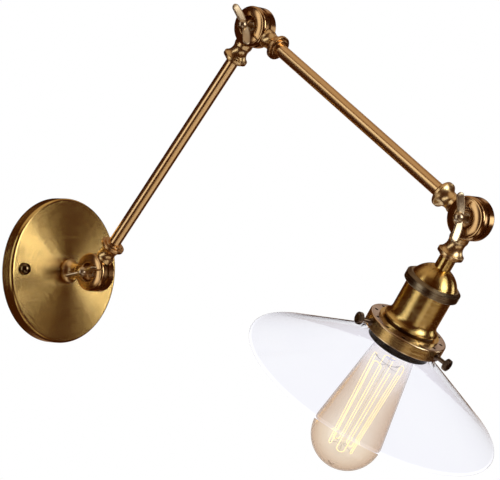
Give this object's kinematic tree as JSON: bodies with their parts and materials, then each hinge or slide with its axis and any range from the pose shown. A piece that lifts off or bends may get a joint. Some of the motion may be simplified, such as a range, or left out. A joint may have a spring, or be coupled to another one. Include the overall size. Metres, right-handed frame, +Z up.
{
  "type": "swing arm wall lamp",
  "caption": "Wall lamp with a round plate, jointed tube arms on clamped knuckles, a brass socket with a vented gallery, a clear conical glass shade and a filament bulb.",
  "frame": {"origin": "the centre of the wall plate's open back, on the wall face", "axes": "+X out of the wall, +Z up, +Y completes the right-handed frame; every arm joint turns about Y and the clamp screws are on the -Y side"},
  "size_m": [0.4249, 0.1976, 0.3435],
  "materials": {
    "brushed_brass": "aged brass with a fine circular brushing and a clear lacquer",
    "polished_brass": "aged brass castings, polished, darker in the recesses",
    "arm_brass": "polished aged brass tube with fine lengthwise drawing lines",
    "plain_brass": "plain turned brass",
    "dark_bronze": "dark bronzed brass, satin",
    "zinc_steel": "zinc plated steel",
    "white_insulator": "moulded, matt",
    "black_insulator": "moulded, matt",
    "clear_glass": "clear blown glass, polished rim",
    "amber_glass": "clear glass with a pale amber tint",
    "filament_wire": "glowing filament wire"
  },
  "bodies": {
    "wall_base": {"wall_plate": "brushed_brass", "mounting_bracket": "zinc_steel", "bracket_studs": "zinc_steel", "cap_nuts": "dark_bronze", "wall_nipple": "zinc_steel", "wall_lock_washer": "zinc_steel", "wall_lock_nut": "zinc_steel", "terminal_block": "white_insulator", "terminal_screws": "plain_brass", "earth_screw": "plain_brass", "wall_knuckle": "polished_brass", "shoulder_washer": "plain_brass"},
    "lower_arm": {"shoulder_knuckle": "polished_brass", "lower_arm_tube": "arm_brass", "elbow_knuckle_front": "polished_brass", "elbow_washer": "plain_brass"},
    "upper_arm": {"elbow_knuckle_rear": "polished_brass", "upper_arm_tube": "arm_brass", "head_knuckle_front": "polished_brass", "head_washer": "plain_brass"},
    "head": {"head_knuckle_rear": "polished_brass", "head_nipple": "zinc_steel", "socket_cap": "brushed_brass", "socket_ring": "polished_brass", "socket_shell": "brushed_brass", "lampholder": "black_insulator", "lampholder_screws": "plain_brass", "lampholder_screw_shell": "plain_brass", "lampholder_contact": "plain_brass", "gallery_washer": "brushed_brass", "gallery": "brushed_brass", "gallery_nut": "dark_bronze", "glass_shade": "clear_glass"},
    "bulb": {"bulb_cap": "plain_brass", "bulb_cap_insulator": "black_insulator", "bulb_contact": "zinc_steel", "bulb_glass": "amber_glass", "bulb_stem": "clear_glass", "filament_supports": "zinc_steel", "filament": "filament_wire"},
    "shoulder_screw": {"shoulder_wing_screw": "polished_brass"},
    "elbow_screw": {"elbow_wing_screw": "polished_brass"},
    "head_screw": {"head_wing_screw": "polished_brass"},
    "shade_screw_l": {"shade_screw_left": "dark_bronze"},
    "shade_screw_r": {"shade_screw_right": "dark_bronze"},
    "shade_screw_b": {"shade_screw_back": "dark_bronze"}
  },
  "joints": [
    {"name": "shoulder", "type": "hinge", "parent": "wall_base", "child": "lower_arm", "pos_m": [0.046, 0, 0], "axis": [0, -1, 0], "range_deg": [-145, 44]},
    {"name": "elbow", "type": "hinge", "parent": "lower_arm", "child": "upper_arm", "pos_m": [0.20384, 0, 0.19387], "axis": [0, -1, 0], "range_deg": [-28, 199]},
    {"name": "head_tilt", "type": "hinge", "parent": "upper_arm", "child": "head", "pos_m": [0.40925, 0, 0.05137], "axis": [0, -1, 0], "range_deg": [-29, 202]},
    {"name": "shoulder_screw_turn", "type": "hinge", "parent": "lower_arm", "child": "shoulder_screw", "pos_m": [0.046, 0, 0], "axis": [0, -1, 0], "continuous": true},
    {"name": "elbow_screw_turn", "type": "hinge", "parent": "upper_arm", "child": "elbow_screw", "pos_m": [0.20384, 0, 0.19387], "axis": [0, -1, 0], "continuous": true},
    {"name": "head_screw_turn", "type": "hinge", "parent": "head", "child": "head_screw", "pos_m": [0.40925, 0, 0.05137], "axis": [0, -1, 0], "continuous": true},
    {"name": "shade_screw_l_turn", "type": "hinge", "parent": "head", "child": "shade_screw_l", "pos_m": [0.34565, -0.03458, -0.02225], "axis": [-0.3536, -0.91, 0.2167], "continuous": true},
    {"name": "shade_screw_r_turn", "type": "hinge", "parent": "head", "child": "shade_screw_r", "pos_m": [0.39134, 0.00364, -0.05024], "axis": [0.8487, 0.0958, -0.5201], "continuous": true},
    {"name": "shade_screw_b_turn", "type": "hinge", "parent": "head", "child": "shade_screw_b", "pos_m": [0.34027, 0.03094, -0.01895], "axis": [-0.4951, 0.8141, 0.3034], "continuous": true},
    {"name": "bulb_turn", "type": "hinge", "parent": "head", "child": "bulb", "pos_m": [0.33088, 0, -0.07652], "axis": [-0.5225, 0, -0.8526], "continuous": true}
  ]
}
